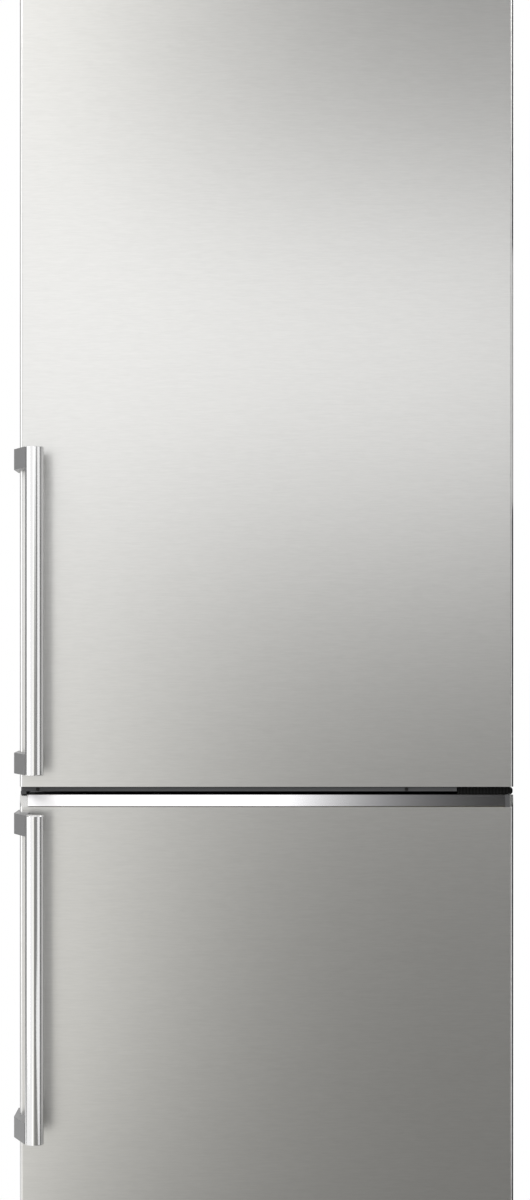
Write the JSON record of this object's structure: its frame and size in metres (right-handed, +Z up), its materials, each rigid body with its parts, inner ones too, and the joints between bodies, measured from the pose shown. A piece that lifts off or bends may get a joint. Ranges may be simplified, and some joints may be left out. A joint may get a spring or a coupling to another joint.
{
  "type": "fridge freezer",
  "caption": "Tall free-standing fridge freezer with brushed steel doors, round bar handles, glass shelves, crisper and freezer drawers, for chilling and freezing food.",
  "frame": {"origin": "on the floor, under the middle of the cabinet's width and of the depth with handles and condenser", "axes": "+Z up, the doors face -Y, +X to the right of someone who faces the doors"},
  "size_m": [0.6055, 0.71, 1.86],
  "materials": {
    "door_steel": "horizontally brushed stainless sheet",
    "handle_steel": "satin round bar",
    "bracket_grey": "satin grey paint",
    "bright_trim": "bright anodised strip",
    "cabinet_paint": "silver-grey paint",
    "zinc_steel": "zinc-plated sheet",
    "light_grey_plastic": "light grey moulding",
    "dark_grey_plastic": "dark grey moulding",
    "black_plastic": "black moulding",
    "white_liner": "white vacuum-formed sheet",
    "clear_plastic": "clear moulding",
    "shelf_glass": "toughened glass",
    "seal_rubber": "grey magnetic seal",
    "foam": "rigid insulating foam",
    "compressor_black": "gloss black enamel",
    "condenser_black": "black enamelled wire and tube",
    "copper": "bare copper",
    "evaporator_alu": "bare aluminium",
    "evaporator_wire": "white-coated wire and tube",
    "lamp_plastic": "opal lamp cover",
    "grommet_rubber": "black rubber"
  },
  "bodies": {
    "cabinet": {"cabinet_shell": "cabinet_paint", "front_rails": "cabinet_paint", "base_pan": "zinc_steel", "back_panel": "zinc_steel", "top_panel": "dark_grey_plastic", "fridge_liner": "white_liner", "freezer_liner": "white_liner", "fridge_evaporator": "evaporator_alu", "cabinet_foam": "foam", "top_hinge": "zinc_steel", "top_hinge_cover": "dark_grey_plastic", "middle_hinge": "zinc_steel", "middle_hinge_cover": "black_plastic", "bottom_hinge": "zinc_steel", "plinth": "dark_grey_plastic", "compressor_plate": "zinc_steel", "compressor": "compressor_black", "compressor_grommets": "grommet_rubber", "relay_box": "black_plastic", "drip_tray": "dark_grey_plastic", "condenser_coil": "condenser_black", "condenser_wires": "condenser_black", "filter_dryer": "copper", "refrigerant_pipes": "copper", "mains_inlet": "black_plastic", "fridge_shelves": "shelf_glass", "shelf_trims": "light_grey_plastic", "freezer_evaporator": "evaporator_wire", "control_housing": "white_liner", "lamp_lens": "lamp_plastic"},
    "fridge_door": {"fridge_door_skin": "door_steel", "fridge_door_top_cap": "dark_grey_plastic", "fridge_door_bottom_cap": "dark_grey_plastic", "fridge_door_foam": "foam", "fridge_door_liner": "white_liner", "fridge_door_seal": "seal_rubber", "door_bin_frame": "white_liner", "door_bins": "clear_plastic", "bottle_bin": "clear_plastic", "fridge_handle_bar": "handle_steel", "fridge_handle_brackets": "bracket_grey"},
    "freezer_door": {"freezer_door_skin": "door_steel", "freezer_door_top_cap": "dark_grey_plastic", "freezer_door_trim": "bright_trim", "freezer_door_bottom_cap": "dark_grey_plastic", "freezer_door_foam": "foam", "freezer_door_liner": "white_liner", "freezer_door_seal": "seal_rubber", "freezer_handle_bar": "handle_steel", "freezer_handle_brackets": "bracket_grey"},
    "crisper": {"crisper": "clear_plastic"},
    "freezer_drawer_1": {"freezer_drawer_1": "clear_plastic"},
    "freezer_drawer_2": {"freezer_drawer_2": "clear_plastic"},
    "freezer_drawer_3": {"freezer_drawer_3": "clear_plastic"},
    "front_foot_left": {"front_foot_left": "black_plastic"},
    "front_foot_right": {"front_foot_right": "black_plastic"},
    "rear_roller_left": {"rear_roller_left": "black_plastic"},
    "rear_roller_right": {"rear_roller_right": "black_plastic"},
    "thermostat_knob": {"thermostat_knob": "light_grey_plastic"},
    "freeze_button": {"freeze_button": "light_grey_plastic"}
  },
  "joints": [
    {"name": "fridge_door_hinge", "type": "hinge", "parent": "cabinet", "child": "fridge_door", "pos_m": [0.28, -0.273, 0.755], "axis": [0, 0, 1], "range_deg": [0, 120]},
    {"name": "freezer_door_hinge", "type": "hinge", "parent": "cabinet", "child": "freezer_door", "pos_m": [0.28, -0.273, 0.062], "axis": [0, 0, 1], "range_deg": [0, 120]},
    {"name": "crisper_slide", "type": "slide", "parent": "cabinet", "child": "crisper", "axis": [0, -1, 0], "range_m": [0, 0.22]},
    {"name": "freezer_drawer_1_slide", "type": "slide", "parent": "cabinet", "child": "freezer_drawer_1", "axis": [0, -1, 0], "range_m": [0, 0.168]},
    {"name": "freezer_drawer_2_slide", "type": "slide", "parent": "cabinet", "child": "freezer_drawer_2", "axis": [0, -1, 0], "range_m": [0, 0.168]},
    {"name": "freezer_drawer_3_slide", "type": "slide", "parent": "cabinet", "child": "freezer_drawer_3", "axis": [0, -1, 0], "range_m": [0, 0.168]},
    {"name": "front_foot_left_turn", "type": "hinge", "parent": "cabinet", "child": "front_foot_left", "pos_m": [-0.25, -0.168, 0.02], "axis": [0, 0, 1], "continuous": true},
    {"name": "front_foot_right_turn", "type": "hinge", "parent": "cabinet", "child": "front_foot_right", "pos_m": [0.25, -0.168, 0.02], "axis": [0, 0, 1], "continuous": true},
    {"name": "rear_roller_left_roll", "type": "hinge", "parent": "cabinet", "child": "rear_roller_left", "pos_m": [-0.24, 0.307, 0.015], "axis": [1, 0, 0], "continuous": true},
    {"name": "rear_roller_right_roll", "type": "hinge", "parent": "cabinet", "child": "rear_roller_right", "pos_m": [0.24, 0.307, 0.015], "axis": [1, 0, 0], "continuous": true},
    {"name": "thermostat_turn", "type": "hinge", "parent": "cabinet", "child": "thermostat_knob", "pos_m": [-0.055, -0.113, 1.791], "axis": [0, -1, 0], "range_deg": [0, 270]},
    {"name": "freeze_button_press", "type": "slide", "parent": "cabinet", "child": "freeze_button", "axis": [0, 1, 0], "range_m": [0, 0.0015], "stiffness_N_per_m": 400}
  ],
  "couplings": [
    {"joint": "crisper_slide", "follows": "fridge_door_hinge", "m_per_rad": 0.105},
    {"joint": "freezer_drawer_1_slide", "follows": "freezer_door_hinge", "m_per_rad": 0.08},
    {"joint": "freezer_drawer_2_slide", "follows": "freezer_door_hinge", "m_per_rad": 0.08},
    {"joint": "freezer_drawer_3_slide", "follows": "freezer_door_hinge", "m_per_rad": 0.08}
  ]
}
